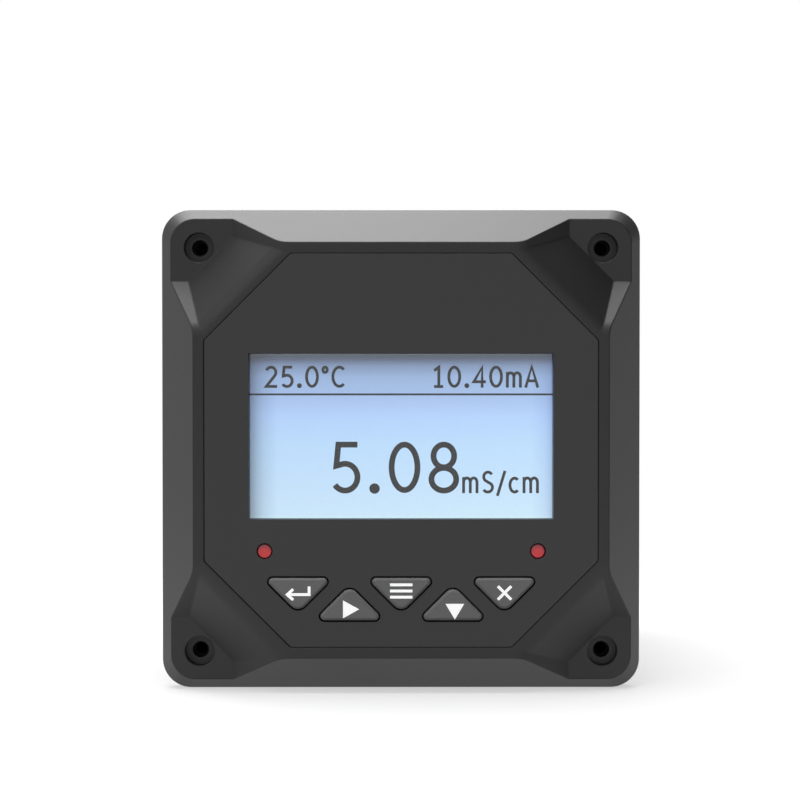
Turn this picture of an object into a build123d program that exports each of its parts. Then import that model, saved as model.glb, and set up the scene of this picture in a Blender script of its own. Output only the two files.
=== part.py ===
"""A panel-mounted conductivity controller, built piece by piece in millimetres.

+Z is up, +X is to the right as the display is read, and the front looks along -Y. The origin is the
centre of the panel's front face, where the gasket bears. A layer is a plane parallel to the panel, given
by how far it lies in front of it, so the bezel has positive layers and the housing negative ones.
"""

from build123d import *
from math import atan2, sin, sqrt, tan
import os

os.makedirs("parts", exist_ok=True)

# Fits and clearances shared by several pieces
loose = 0.15  # a sliding or drop-in fit, each side
snug = 0.02  # a pressed or glued fit, each side
turning = 0.05  # a screw in its thread, each side
seat = 0.1  # play at a stop

# Bezel: a square flange, a tapered wall and a flat front with four sunk corners
face_size = 100.0
face_corner = 6.0
flange_edge = 3.0
wall_height = 12.0
wall_inset = 7.3
rim_corner = 2.8
skin = 2.5  # front wall behind the overlay
facet_wall = 2.4  # wall behind the sloping facets
pad_drop = 8.6  # how far the corner pads lie behind the front
pad_width = 15.0  # from the edge of the flange to the pad's inner edge
pad_chamfer = 6.55  # how far the pad's inner corner is cut back
side_run = 10.1  # plan length of the two small facets
corner_run = 9.25  # plan length of the large corner facet
facet_round = 5.0  # rounding where a facet meets the front

# Corner holes for M3 screws
hole_inset = 8.0
hole_radius = 1.65
head_radius = 3.1
head_depth = 3.0

# Panel gasket
gasket_proud = 1.5
gasket_sunk = 1.0
gasket_width = 3.2
flange_lip = 0.9

# Overlay, flush in the front
overlay_thick = 0.8
overlay_margin = 9.5
overlay_land = 0.15
overlay_corner = 1.0

# Window and display
window_side = 18.7  # from the edge of the flange to the window
window_above = 30.05
window_below = 35.85
window_draft = 0.1
pane_thick = 1.2
pane_lap = 2.2
seal_thick = 0.5
sheet = 0.4
frame_border = 3.7
frame_ledge = 2.6  # extra height of the display above the window, for its contacts
glass_thick = 2.8
light_thick = 2.3
tab_width = 3.0
tab_proud = 0.8

# Keys: right-angled triangles with rounded corners in a zig-zag row
key_names = ["enter", "right", "menu", "down", "escape"]
key_pitch = 10.6
key_half_base = 8.0
key_base_round = 1.17
key_tip_round = 2.3
key_gap = 0.35
key_proud = 0.4
key_bevel = 0.45
key_row_drop = 11.65  # from the window down to the row's upper long sides
key_row_height = 9.4
key_lip = 0.8
key_lip_thick = 1.0
key_travel = 0.5
stem_radius = 1.5

# Switches under the keys
switch_size = 6.0
switch_body = 3.5
switch_cover = 0.3
switch_floor = 1.0
plunger_radius = 1.75
plunger_collar = 0.5
collar_thick = 0.8
plunger_proud = 1.5

# Lamps
lamp_inset = 3.25  # from the window's side, inwards
lamp_below = 6.5  # from the window's lower edge
lamp_radius = 1.5
lamp_gap = 0.13
lamp_edge_round = 0.35
lamp_sink = 0.2
lamp_length = 5.3
lamp_flange = 0.4
lamp_flange_thick = 1.0
lead_size = 0.5
lead_spread = 1.27

# Display board and its bosses
board_thick = 1.6
boss_radius = 2.4
boss_rise = 14.0
board_margin = 3.1
board_corner_gap = 5.2
board_screw_radius = 1.1
board_screw_head = 2.1
board_screw_head_thick = 1.5
board_screw_length = 5.0

# Housing behind the panel
flange_overlap = 3.75  # how far the flange reaches past the cut-out, each side
cut_out_gap = 0.75
housing_corner = 3.0
housing_wall = 2.2
housing_depth = 129.5
plate_thick = 2.5
terminal_proud = 1.5
post_size = 8.0
front_post_depth = 10.0
rear_post_depth = 14.0
rear_hole_inset = 5.5
rear_screw_radius = 1.45
rear_screw_length = 10.0
rear_head_radius = 2.9
rear_pilot_radius = 1.25
spigot_thick = 1.6
spigot_depth = 4.0
spigot_length = 56.0
hook_width = 12.0
hook_spread = 22.0
hook_depth = 10.5
hook_barb = 1.6
hook_barb_length = 2.8
vent_width = 2.2
vent_length = 16.0
vent_pitch = 5.6
vent_rows = 2
vent_columns = 9
vent_row_pitch = 24.0
vent_centre = 84.0

# Threaded inserts behind the corner holes
insert_radius = 2.1
insert_length = 6.0
insert_bore = 1.25

# Side rails for the clamps
channel_depth = 3.2
channel_width = 26.0
channel_start = 12.0
rail_stem = 8.0
rail_head = 14.0
rail_stem_height = 1.6
rail_head_height = 1.0

# Clamps and their screws
clamp_length = 16.0
clamp_shoe = 24.0
clamp_tower = 15.0
clamp_wall = 1.4
clamp_start = 40.0
clamp_screw_offset = 3.5  # from the side of the housing to the screw's axis
clamp_screw_radius = 1.95
clamp_screw_proud = 4.0  # how far the screw's shank stands out behind its clamp at rest
clamp_screw_length = 50.0
clamp_head_radius = 3.5
clamp_head_thick = 2.6
clamp_insert_radius = 2.8
clamp_insert_length = 8.0

# Boards in the housing
board_wall_gap = 10.3  # from the housing's inner wall to the middle of the board
board_gap = 0.5
guide_depth = 3.0
guide_thick = 1.2
guide_start = 8.0
board_back_gap = 2.0
link_pins = 12
link_pitch = 2.54
link_height = 2.5
link_socket_depth = 8.5
pin_size = 0.64
pin_reach = 5.1

# Parts on the power board
part_gap = 4.0
module_width = 46.0
module_length = 26.0
module_height = 18.0
module_side = 5.8  # from the board's left edge
module_start = 39.0
capacitor_radius = 5.0
capacitor_height = 16.0
capacitor_pitch = 13.0
fuse_radius = 2.6
fuse_length = 20.0
fuse_offset = -20.0
input_row = 26.0  # where the fuse, the surge disc and the choke stand
clip_length = 5.0
clip_width = 6.4
clip_height = 6.4
clip_mouth = 4.6
surge_radius = 5.0
surge_thick = 4.0
surge_offset = 4.0
choke_radius = 7.0
choke_bore = 3.0
choke_height = 8.0
choke_offset = 22.0
relay_width = 15.4
relay_length = 19.0
relay_height = 15.5
relay_pitch = 20.0
relays = 3

# Parts on the main board
processor_size = 14.0
processor_height = 1.6
processor_start = 36.0
isolator_width = 20.0
isolator_length = 14.0
isolator_height = 9.5
isolator_offset = -20.0
isolator_start = 60.0
shield_width = 30.0
shield_length = 24.0
shield_height = 8.0
shield_offset = 15.0

# Terminal blocks
poles = 12
pole_pitch = 5.08
block_end = 1.5
block_height = 15.0
block_depth = 13.0
well_radius = 1.85
well_depth = 7.0
well_rise = 3.3
entry_width = 2.8
entry_height = 2.9
entry_depth = 9.0
entry_drop = 3.2
terminal_screw_radius = 1.6
terminal_screw_sunk = 0.9
cage_sunk = 1.6
slot_width = 0.6
slot_depth = 0.7

# Distances that follow from the sizes above
middle = (Align.CENTER, Align.CENTER, Align.MIN)
face_half = face_size / 2
window_width = face_size - 2 * window_side
window_height = face_size - window_above - window_below
window_rise = (window_below - window_above) / 2
window_foot = window_height / 2 - window_rise
key_row_top = window_foot + key_row_drop
lamp_spread = window_width / 2 - lamp_inset
lamp_drop = window_foot + lamp_below
cut_out = face_size - 2 * flange_overlap
back_layer = gasket_proud
wall_layer = back_layer + flange_edge
front_layer = wall_layer + wall_height
pad_layer = front_layer - pad_drop
recess_layer = front_layer - overlay_thick
skin_layer = recess_layer - skin
pane_layer = skin_layer - pane_thick
frame_layer = pane_layer - seal_thick
glass_layer = frame_layer - sheet
light_layer = glass_layer - glass_thick
board_layer = light_layer - light_thick
housing_half = cut_out / 2 - cut_out_gap
inner_half = housing_half - housing_wall
board_level = inner_half - board_wall_gap
spigot_outer = inner_half - loose
spigot_inner = spigot_outer - spigot_thick
pad_side = face_half - pad_width
pad_diagonal = pad_side * sqrt(2) + pad_chamfer
corner_slope = atan2(pad_drop, corner_run)
hole_place = face_half - hole_inset
frame_width = window_width + 2 * frame_border
frame_height = window_height + 2 * frame_border + frame_ledge
frame_rise = window_rise + frame_ledge / 2
boss_spread = frame_width / 2 + boss_radius + 2 * loose
board_half = boss_spread + board_margin
switch_layer = board_layer + switch_body
plunger_layer = switch_layer + plunger_proud
block_length = poles * pole_pitch + block_end
block_level = board_level - board_thick / 2 - block_height / 2
rear_layer = -(housing_depth + plate_thick)
terminal_layer = rear_layer - terminal_proud
channel_floor = housing_half - channel_depth
rail_top = channel_floor + rail_stem_height + rail_head_height
board_width = 2 * (inner_half - board_gap)
board_front = spigot_depth + 4 * loose
board_end = housing_depth - board_back_gap
board_face = board_level - board_thick / 2
key_lip_layer = skin_layer - seat
key_back_layer = key_lip_layer - key_lip_thick
key_front_layer = front_layer + key_proud
lamp_top_layer = front_layer - lamp_sink
lamp_base_layer = lamp_top_layer - lamp_length
overlay_half = face_half - overlay_margin
corner_start = pad_diagonal - corner_run - facet_round * tan(corner_slope / 2)
overlay_diagonal = corner_start - overlay_land
facet_back = facet_wall / sin(corner_slope)
hollow_back = pad_diagonal + (pad_layer - board_layer) * corner_run / pad_drop - facet_back
hollow_front = pad_diagonal - (skin_layer - pad_layer) * corner_run / pad_drop - facet_back
board_corner = hollow_back - board_corner_gap
gasket_outer = face_size - 2 * flange_lip
gasket_inner = gasket_outer - 2 * gasket_width - 4 * loose
rear_hole = housing_half - rear_hole_inset
clamp_end = clamp_start + clamp_length
clamp_screw_axis = housing_half + clamp_screw_offset
clamp_outer = clamp_screw_axis + clamp_insert_radius + clamp_wall
screw_end = clamp_end + clamp_screw_proud
module_centre = module_side + module_width / 2 - board_width / 2
module_middle = module_start + module_length / 2
capacitor_column = module_centre + module_width / 2 + part_gap + capacitor_radius
block_front = -terminal_layer - block_depth
relay_row = block_front - part_gap - relay_length / 2
shield_row = block_front - part_gap - shield_length / 2


def layer(front):
    """The plane that far in front of the panel, with X to the right and Z up in its sketches."""
    return Plane.XZ.offset(front)


def save(piece, label):
    """Names a finished piece and writes it."""
    piece.part.label = label
    export_step(piece.part, f"parts/{label}.step")


def octagon(half, diagonal):
    """The points of a square with its corners cut at 45 degrees, `diagonal` from the centre."""
    near = diagonal * sqrt(2) - half
    quarter = [(half, near), (near, half)]
    points = []
    for turn in range(4):
        points += quarter
        quarter = [(-y, x) for x, y in quarter]
    return points


def facet_profile(turn, pad_edge, run):
    """What is cut off above a facet, drawn on a plane that holds Y and points outwards at that angle."""
    lip = pad_edge - run
    start = lip - 2 * facet_round
    over = front_layer + pad_drop
    with BuildSketch(Plane.XY.rotated((0, -turn, 0)).offset(-face_size)) as profile:
        Polygon(
            (start, -front_layer),
            (lip, -front_layer),
            (pad_edge, -pad_layer),
            (face_size, -pad_layer),
            (face_size, -over),
            (start, -over),
        )
        bend = profile.vertices().sort_by_distance((lip, -front_layer))[0]
        fillet(bend, facet_round)
    return profile.sketch


def key_outline(index, grow=0.0):
    """The rounded triangle of one key's opening, grown or shrunk, at its place in the row."""
    with BuildSketch(mode=Mode.PRIVATE) as outline:
        Polygon((-key_half_base, 0), (0, -key_half_base), (key_half_base, 0))
        tip = outline.vertices().sort_by(Axis.Y)[0]
        fillet(tip, key_tip_round)
        columns = outline.vertices().group_by(Axis.X)
        fillet(columns[0] + columns[-1], key_base_round)
        if grow:
            offset(amount=grow, kind=Kind.ARC)
        if points_up(index):
            mirror(about=Plane.XZ, mode=Mode.REPLACE)
    x, base = key_base(index)
    return outline.sketch.moved(Location((x, base)))


def points_up(index):
    """Every second key stands on its long side."""
    return index % 2 == 1


def key_base(index):
    """The middle of a key's long side."""
    x = (index - (len(key_names) - 1) / 2) * key_pitch
    if points_up(index):
        return x, -key_row_top - key_row_height
    return x, -key_row_top


def key_centre(index):
    """Where the stem stands, a third of the way from the long side to the tip."""
    x, base = key_base(index)
    rise = key_half_base * 0.38
    return (x, base + rise) if points_up(index) else (x, base - rise)


lamp_places = [(-lamp_spread, -lamp_drop), (lamp_spread, -lamp_drop)]
key_row = range(len(key_names))

# Front bezel: the piece that gives the object its looks, with four faceted corners and hollow behind
with BuildPart() as corner_cut:
    extrude(facet_profile(0, pad_side, side_run), amount=2 * face_size)
    extrude(facet_profile(90, pad_side, side_run), amount=2 * face_size, mode=Mode.INTERSECT)
    extrude(facet_profile(45, pad_diagonal, corner_run), amount=2 * face_size, mode=Mode.INTERSECT)

with BuildPart() as front_bezel:
    with BuildSketch(layer(back_layer)):
        RectangleRounded(face_size, face_size, face_corner)
    extrude(amount=flange_edge)
    with BuildSketch(layer(wall_layer)):
        RectangleRounded(face_size, face_size, face_corner)
    with BuildSketch(layer(front_layer)):
        RectangleRounded(face_size - 2 * wall_inset, face_size - 2 * wall_inset, rim_corner)
    loft(ruled=True)
    for quarter in range(4):
        add(corner_cut.part.rotate(Axis.Y, 90 * quarter), mode=Mode.SUBTRACT)
    # Recess for the overlay
    with BuildSketch(layer(recess_layer)) as recess:
        Polygon(*octagon(overlay_half, overlay_diagonal))
        fillet(recess.vertices(), overlay_corner)
    extrude(amount=pad_drop, mode=Mode.SUBTRACT)
    # Window with sloping sides
    with BuildSketch(layer(recess_layer)):
        with Locations((0, window_rise)):
            Rectangle(window_width, window_height)
    with BuildSketch(layer(skin_layer)):
        with Locations((0, window_rise)):
            Rectangle(window_width - 2 * window_draft, window_height - 2 * window_draft)
    loft(ruled=True, mode=Mode.SUBTRACT)
    # Openings for keys and lamps
    with BuildSketch(layer(skin_layer)):
        for index in key_row:
            add(key_outline(index))
        with Locations(*lamp_places):
            Circle(lamp_radius + lamp_gap)
    extrude(amount=skin, mode=Mode.SUBTRACT)
    # Hollow that follows the facets
    with BuildSketch(layer(board_layer)):
        Polygon(*octagon(spigot_inner, hollow_back))
    with BuildSketch(layer(skin_layer)):
        Polygon(*octagon(spigot_inner, hollow_front))
    loft(ruled=True, mode=Mode.SUBTRACT)
    with BuildSketch(layer(back_layer)):
        Polygon(*octagon(spigot_inner, hollow_back))
    extrude(amount=board_layer - back_layer, mode=Mode.SUBTRACT)
    # Channel for the gasket
    with BuildSketch(layer(back_layer)):
        RectangleRounded(gasket_outer, gasket_outer, face_corner - flange_lip)
        RectangleRounded(gasket_inner, gasket_inner, housing_corner, mode=Mode.SUBTRACT)
    extrude(amount=gasket_sunk, mode=Mode.SUBTRACT)
    with Locations(layer(pad_layer)):
        with GridLocations(2 * hole_place, 2 * hole_place, 2, 2):
            CounterBoreHole(hole_radius, head_radius, head_depth)
    # Bosses that carry the display board
    with BuildSketch(layer(board_layer)):
        with GridLocations(2 * boss_spread, 2 * boss_rise, 2, 2):
            Circle(boss_radius)
    extrude(amount=skin_layer - board_layer)
    with BuildSketch(layer(board_layer)):
        with GridLocations(2 * boss_spread, 2 * boss_rise, 2, 2):
            Circle(board_screw_radius)
    extrude(amount=board_screw_length, mode=Mode.SUBTRACT)
    # Spigot walls that enter the housing, and the four hooks on them
    with BuildSketch(layer(-spigot_depth)):
        with PolarLocations(spigot_outer - spigot_thick / 2, 4):
            Rectangle(spigot_thick, spigot_length)
    extrude(amount=spigot_depth + back_layer)
    for side in (-1, 1):
        with BuildSketch(Plane.YZ.offset(side * hook_spread - hook_width / 2)) as hook:
            with BuildLine():
                Polyline(
                    (0, spigot_inner),
                    (hook_depth, spigot_inner),
                    (hook_depth, spigot_outer),
                    (hook_depth - hook_barb_length, spigot_outer + hook_barb),
                    (hook_depth - hook_barb_length, spigot_outer),
                    (0, spigot_outer),
                    close=True,
                )
            make_face()
            mirror(about=Plane.XZ)
        extrude(amount=hook_width)
save(front_bezel, "front_bezel")

# Overlay: a flush sheet with the same openings
with BuildPart() as front_overlay:
    with BuildSketch(layer(recess_layer)) as outline:
        Polygon(*octagon(overlay_half - loose, overlay_diagonal - loose))
        fillet(outline.vertices(), overlay_corner)
        with Locations((0, window_rise)):
            Rectangle(window_width, window_height, mode=Mode.SUBTRACT)
        for index in key_row:
            add(key_outline(index), mode=Mode.SUBTRACT)
        with Locations(*lamp_places):
            Circle(lamp_radius + lamp_gap, mode=Mode.SUBTRACT)
    extrude(amount=overlay_thick)
save(front_overlay, "front_overlay")

# Window pane, glued behind the front wall
with BuildPart() as display_window:
    with BuildSketch(layer(pane_layer)):
        with Locations((0, window_rise)):
            Rectangle(window_width + 2 * pane_lap, window_height + 2 * pane_lap)
    extrude(amount=pane_thick)
save(display_window, "display_window")

# Foam between the pane and the display's frame
with BuildPart() as window_seal:
    with BuildSketch(layer(frame_layer)):
        with Locations((0, window_rise)):
            Rectangle(window_width + 2 * pane_lap, window_height + 2 * pane_lap)
            Rectangle(window_width, window_height, mode=Mode.SUBTRACT)
    extrude(amount=seal_thick)
save(window_seal, "window_seal")

# Display: sheet-steel frame with tabs through the board, glass, and light guide
with BuildPart() as display_frame:
    with BuildSketch(layer(board_layer)):
        with Locations((0, frame_rise)):
            Rectangle(frame_width, frame_height)
    extrude(amount=frame_layer - board_layer)
    with BuildSketch(layer(board_layer)):
        with Locations((0, frame_rise)):
            Rectangle(frame_width - 2 * sheet, frame_height - 2 * sheet)
    extrude(amount=glass_layer - board_layer, mode=Mode.SUBTRACT)
    with BuildSketch(layer(glass_layer)):
        with Locations((0, window_rise)):
            Rectangle(window_width + sheet, window_height + sheet)
    extrude(amount=sheet, mode=Mode.SUBTRACT)
    with BuildSketch(layer(board_layer - board_thick - tab_proud)):
        with Locations((0, frame_rise)):
            with GridLocations(frame_width - sheet, frame_height / 2, 2, 2):
                Rectangle(sheet, tab_width)
    extrude(amount=board_thick + tab_proud)
save(display_frame, "display_frame")

glass_width = frame_width - 2 * sheet - 2 * loose
glass_height = frame_height - 2 * sheet - 2 * loose
with BuildPart() as display_glass:
    with BuildSketch(layer(light_layer)):
        with Locations((0, frame_rise)):
            Rectangle(glass_width, glass_height)
    extrude(amount=glass_thick / 2)
    with BuildSketch(layer(light_layer + glass_thick / 2)):
        with Locations((0, window_rise)):
            Rectangle(glass_width, glass_height - frame_ledge)
    extrude(amount=glass_thick / 2)
save(display_glass, "display_glass")

with BuildPart() as display_backlight:
    with BuildSketch(layer(board_layer)):
        with Locations((0, frame_rise)):
            Rectangle(glass_width, glass_height)
    extrude(amount=light_thick)
save(display_backlight, "display_backlight")

# Display board with its screws
with BuildPart() as display_board:
    with BuildSketch(layer(board_layer - board_thick)):
        Polygon(*octagon(board_half, board_corner))
        with GridLocations(2 * boss_spread, 2 * boss_rise, 2, 2):
            Circle(board_screw_radius + loose, mode=Mode.SUBTRACT)
        with Locations((0, frame_rise)):
            with GridLocations(frame_width - sheet, frame_height / 2, 2, 2):
                Rectangle(sheet + 2 * loose, tab_width + 2 * loose, mode=Mode.SUBTRACT)
    extrude(amount=board_thick)
save(display_board, "display_board")

with BuildPart() as display_board_screws:
    with Locations(layer(board_layer - board_thick - board_screw_head_thick)):
        with GridLocations(2 * boss_spread, 2 * boss_rise, 2, 2):
            Cylinder(board_screw_head, board_screw_head_thick, align=middle)
            Cylinder(
                board_screw_radius - turning,
                board_screw_head_thick + board_thick + board_screw_length - seat,
                align=middle,
            )
save(display_board_screws, "display_board_screws")


def make_key(index, name):
    """A key with a bevelled face, a lip behind the front wall and a stem down to its switch."""
    with BuildPart() as key:
        with BuildSketch(layer(key_back_layer)):
            add(key_outline(index, key_lip))
        extrude(amount=key_lip_thick)
        with BuildSketch(layer(key_lip_layer)):
            add(key_outline(index, -key_gap))
        extrude(amount=key_front_layer - key_lip_layer)
        chamfer(key.faces().sort_by(Axis.Y)[0].edges(), key_bevel)
        with BuildSketch(layer(plunger_layer)):
            with Locations(key_centre(index)):
                Circle(stem_radius)
        extrude(amount=key_back_layer - plunger_layer)
    save(key, f"key_{name}")


def make_plunger(index, name):
    """The moving button of a key's switch, held in by its collar."""
    collar_top = switch_layer - switch_cover - seat
    with BuildPart() as plunger:
        with BuildSketch(layer(collar_top - collar_thick)):
            with Locations(key_centre(index)):
                Circle(plunger_radius + plunger_collar)
        extrude(amount=collar_thick)
        with BuildSketch(layer(collar_top)):
            with Locations(key_centre(index)):
                Circle(plunger_radius)
        extrude(amount=plunger_layer - collar_top)
    save(plunger, f"plunger_{name}")


for index, name in enumerate(key_names):
    make_key(index, name)
    make_plunger(index, name)

# Switch bodies, one solid for each key, soldered to the board
with BuildPart() as key_switches:
    with BuildSketch(layer(board_layer)):
        with Locations(*[key_centre(index) for index in key_row]):
            Rectangle(switch_size, switch_size)
    extrude(amount=switch_body)
    with BuildSketch(layer(board_layer + switch_floor)):
        with Locations(*[key_centre(index) for index in key_row]):
            Circle(plunger_radius + plunger_collar + loose)
    extrude(amount=switch_body - switch_floor - switch_cover, mode=Mode.SUBTRACT)
    with BuildSketch(layer(switch_layer - switch_cover)):
        with Locations(*[key_centre(index) for index in key_row]):
            Circle(plunger_radius + loose)
    extrude(amount=switch_cover, mode=Mode.SUBTRACT)
save(key_switches, "key_switches")


def make_lamp(place, name):
    """A 3 mm lamp: flat lens with a round edge, flange and two leads down to the board."""
    with BuildPart() as lamp:
        with Locations(layer(lamp_base_layer)):
            with Locations(place):
                Cylinder(lamp_radius, lamp_length, align=middle)
        fillet(lamp.faces().sort_by(Axis.Y)[0].edges(), lamp_edge_round)
        with Locations(layer(lamp_base_layer)):
            with Locations(place):
                Cylinder(lamp_radius + lamp_flange, lamp_flange_thick, align=middle)
        with Locations(layer(board_layer)):
            with Locations(place):
                with GridLocations(2 * lead_spread, 0, 2, 1):
                    Box(lead_size, lead_size, lamp_base_layer - board_layer, align=middle)
    save(lamp, name)


make_lamp(lamp_places[0], "lamp_left")
make_lamp(lamp_places[1], "lamp_right")

with BuildPart() as lamp_spacers:
    with BuildSketch(layer(board_layer)):
        with Locations(*lamp_places):
            Circle(lamp_radius + lamp_flange)
            with GridLocations(2 * lead_spread, 0, 2, 1):
                Rectangle(lead_size + loose, lead_size + loose, mode=Mode.SUBTRACT)
    extrude(amount=lamp_base_layer - board_layer)
save(lamp_spacers, "lamp_spacers")

# Gasket between the flange and the panel
with BuildPart() as panel_gasket:
    with BuildSketch(layer(0)):
        outer = gasket_outer - 2 * loose
        RectangleRounded(outer, outer, face_corner - flange_lip - loose)
        inner = gasket_inner + 2 * loose
        RectangleRounded(inner, inner, housing_corner, mode=Mode.SUBTRACT)
    extrude(amount=gasket_proud + gasket_sunk)
save(panel_gasket, "panel_gasket")

# Rear housing: a square tube with a channel and a rail on either side
with BuildPart() as rear_housing:
    with BuildSketch(layer(-housing_depth)):
        RectangleRounded(2 * housing_half, 2 * housing_half, housing_corner)
        RectangleRounded(
            2 * inner_half, 2 * inner_half, housing_corner - housing_wall, mode=Mode.SUBTRACT
        )
    extrude(amount=housing_depth + back_layer)
    # Wall behind each channel, then the channel and its rail
    backing = inner_half - channel_floor + housing_wall
    with BuildSketch(layer(-housing_depth)):
        with PolarLocations(inner_half - backing / 2, 2):
            Rectangle(backing, channel_width + 2 * housing_wall)
    extrude(amount=housing_depth - channel_start + housing_wall)
    with BuildSketch(layer(-housing_depth)):
        with PolarLocations(channel_floor + channel_depth, 2):
            Rectangle(2 * channel_depth, channel_width)
    extrude(amount=housing_depth - channel_start, mode=Mode.SUBTRACT)
    with BuildSketch(layer(-housing_depth)):
        with PolarLocations(channel_floor + rail_stem_height / 2, 2):
            Rectangle(rail_stem_height, rail_stem)
        with PolarLocations(rail_top - rail_head_height / 2, 2):
            Rectangle(rail_head_height, rail_head)
    extrude(amount=housing_depth - channel_start)
    # Corner posts: inserts at the front, plate screws at the rear
    post = inner_half - post_size / 2
    with BuildSketch(layer(back_layer - front_post_depth)):
        with GridLocations(2 * post, 2 * post, 2, 2):
            Rectangle(post_size, post_size)
    extrude(amount=front_post_depth)
    with BuildSketch(layer(-housing_depth)):
        with GridLocations(2 * post, 2 * post, 2, 2):
            Rectangle(post_size, post_size)
    extrude(amount=rear_post_depth)
    with BuildSketch(layer(back_layer - insert_length)):
        with GridLocations(2 * hole_place, 2 * hole_place, 2, 2):
            Circle(insert_radius)
    extrude(amount=insert_length, mode=Mode.SUBTRACT)
    with BuildSketch(layer(back_layer - front_post_depth)):
        with GridLocations(2 * hole_place, 2 * hole_place, 2, 2):
            Circle(hole_radius)
    extrude(amount=front_post_depth, mode=Mode.SUBTRACT)
    with BuildSketch(layer(-housing_depth)):
        with GridLocations(2 * rear_hole, 2 * rear_hole, 2, 2):
            Circle(rear_pilot_radius)
    extrude(amount=rear_screw_length, mode=Mode.SUBTRACT)
    # Guides above and below each board
    guide_height = inner_half - guide_depth / 2
    guide_step = board_thick / 2 + loose + guide_thick / 2
    with BuildSketch(layer(rear_post_depth - housing_depth)):
        for level in (-board_level, board_level):
            for step in (-guide_step, guide_step):
                with Locations((guide_height, level + step), (-guide_height, level + step)):
                    Rectangle(guide_depth, guide_thick)
    extrude(amount=housing_depth - rear_post_depth - guide_start)
    # Windows for the bezel's hooks
    barb_start = hook_depth - hook_barb_length
    with BuildSketch(Plane.XY.offset(-face_size)):
        with Locations((0, barb_start + hook_barb_length / 2)):
            with GridLocations(2 * hook_spread, 0, 2, 1):
                Rectangle(hook_width + 4 * loose, hook_barb_length + 4 * loose)
        # Vents
        with Locations((0, vent_centre)):
            with GridLocations(vent_pitch, vent_row_pitch, vent_columns, vent_rows):
                Rectangle(vent_width, vent_length)
    extrude(amount=2 * face_size, mode=Mode.SUBTRACT)
save(rear_housing, "rear_housing")

with BuildPart() as threaded_inserts:
    with BuildSketch(layer(back_layer - insert_length)):
        with GridLocations(2 * hole_place, 2 * hole_place, 2, 2):
            Circle(insert_radius - snug)
            Circle(insert_bore, mode=Mode.SUBTRACT)
    extrude(amount=insert_length)
save(threaded_inserts, "threaded_inserts")

# Rear plate with its screws
with BuildPart() as rear_plate:
    with BuildSketch(layer(rear_layer)):
        RectangleRounded(2 * housing_half, 2 * housing_half, housing_corner)
        with PolarLocations(channel_floor + channel_depth, 2):
            Rectangle(2 * channel_depth, channel_width, mode=Mode.SUBTRACT)
        with Locations((0, block_level), (0, -block_level)):
            Rectangle(block_length + 2 * loose, block_height + 2 * loose, mode=Mode.SUBTRACT)
    extrude(amount=plate_thick)
    with Locations(Plane(origin=(0, -rear_layer, 0), x_dir=(-1, 0, 0), z_dir=(0, 1, 0))):
        with GridLocations(2 * rear_hole, 2 * rear_hole, 2, 2):
            CounterSinkHole(rear_screw_radius + loose, rear_head_radius, plate_thick)
save(rear_plate, "rear_plate")

with BuildPart() as rear_plate_screws:
    cone = rear_head_radius - loose - rear_screw_radius
    with Locations(layer(rear_layer)):
        with GridLocations(2 * rear_hole, 2 * rear_hole, 2, 2):
            Cone(rear_head_radius - loose, rear_screw_radius, cone, align=middle)
            Cylinder(
                rear_pilot_radius - turning, plate_thick + rear_screw_length - seat, align=middle
            )
save(rear_plate_screws, "rear_plate_screws")


def make_board(level, name):
    """A circuit board that lies flat in the guides of the housing."""
    with BuildPart() as board:
        with BuildSketch(Plane.XY.offset(level - board_thick / 2)):
            with Locations((0, (board_front + board_end) / 2)):
                Rectangle(board_width, board_end - board_front)
        extrude(amount=board_thick)
    save(board, name)


def make_link(side, name):
    """A header with forward pins on a board's inner face, and the socket for it on the display board."""
    level = side * (board_face - link_height / 2)
    width = link_pins * link_pitch
    socket_back = board_layer - board_thick - link_socket_depth
    with BuildPart() as header:
        with BuildSketch(layer(-board_front - link_height - seat)):
            with Locations((0, level)):
                Rectangle(width, link_height)
        extrude(amount=link_height)
        with BuildSketch(layer(-board_front - seat)):
            with Locations((0, level)):
                with GridLocations(link_pitch, 0, link_pins, 1):
                    Rectangle(pin_size, pin_size)
        extrude(amount=pin_reach)
    save(header, f"board_header_{name}")
    with BuildPart() as socket:
        with BuildSketch(layer(socket_back)):
            with Locations((0, level)):
                Rectangle(width, link_height)
        extrude(amount=link_socket_depth)
        with BuildSketch(layer(socket_back)):
            with Locations((0, level)):
                Rectangle(width - link_pitch + pin_size + 2 * loose, pin_size + 2 * loose)
        extrude(amount=pin_reach, mode=Mode.SUBTRACT)
    save(socket, f"board_socket_{name}")


make_board(-board_level, "main_board")
make_board(board_level, "power_board")
make_link(-1, "main")
make_link(1, "power")

def make_blocks(board, height, size, places, name):
    """Closed parts with straight sides on a board: their plan size, their centres and their height."""
    with BuildPart() as blocks:
        with BuildSketch(board):
            with Locations(*places):
                Rectangle(*size)
        extrude(amount=height)
    save(blocks, name)


# Parts that hang below the power board
under = Plane.XY.offset(board_face)
module_size = (module_width, module_length)
make_blocks(under, -module_height, module_size, [(module_centre, module_middle)], "power_module")

with BuildPart() as smoothing_capacitors:
    with BuildSketch(under):
        with Locations((capacitor_column, module_middle)):
            with GridLocations(0, capacitor_pitch, 1, 2):
                Circle(capacitor_radius)
    extrude(amount=-capacitor_height)
save(smoothing_capacitors, "smoothing_capacitors")

fuse_axis = Plane(origin=(fuse_offset, input_row, board_face - clip_height / 2), z_dir=(1, 0, 0))
with BuildPart() as fuse:
    with Locations(fuse_axis):
        Cylinder(fuse_radius, fuse_length)
save(fuse, "fuse")

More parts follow.
